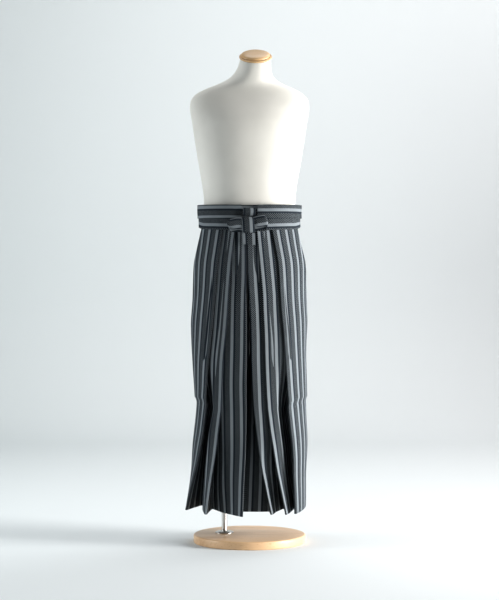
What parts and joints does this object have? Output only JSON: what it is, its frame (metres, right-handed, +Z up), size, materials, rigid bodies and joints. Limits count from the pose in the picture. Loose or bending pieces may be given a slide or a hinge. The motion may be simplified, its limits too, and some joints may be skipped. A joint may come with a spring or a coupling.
{
  "type": "hakama trousers on a limbless dress form",
  "caption": "Divided Japanese hakama trousers in dark striped cloth with pressed pleats, tied with a flat cross knot, worn on a limbless dress form with a wooden base.",
  "frame": {"origin": "centre of the underside of the stand's round base disc", "axes": "+Z up along the stand, -Y towards the front of the garment, +X towards the wearer's left"},
  "size_m": [0.3965, 0.36, 1.5877],
  "materials": {
    "striped_cloth": "matt dark blue-grey woven cloth with pale grey stripes and small checks",
    "form_cover": "smooth matt off-white stretch cover",
    "cap_wood": "turned beech, satin clear coat",
    "base_wood": "pale beech, satin clear coat",
    "steel": "satin steel"
  },
  "bodies": {
    "root": {"front_right": "striped_cloth", "front_left": "striped_cloth", "back_right": "striped_cloth", "back_left": "striped_cloth", "gusset_right": "striped_cloth", "gusset_left": "striped_cloth", "front_waistband": "striped_cloth", "front_tie_upper_turn": "striped_cloth", "front_tie_lower_turn": "striped_cloth", "back_tie_left": "striped_cloth", "back_tie_right": "striped_cloth", "back_board": "striped_cloth", "knot_upper": "striped_cloth", "bow_left_loop": "striped_cloth", "bow_right_loop": "striped_cloth", "knot_wrap": "striped_cloth", "tie_tail": "striped_cloth", "form_torso": "form_cover", "neck_cap": "cap_wood", "pole": "steel", "pole_collar": "steel", "pole_flange": "steel", "base_disc": "base_wood"}
  },
  "joints": []
}
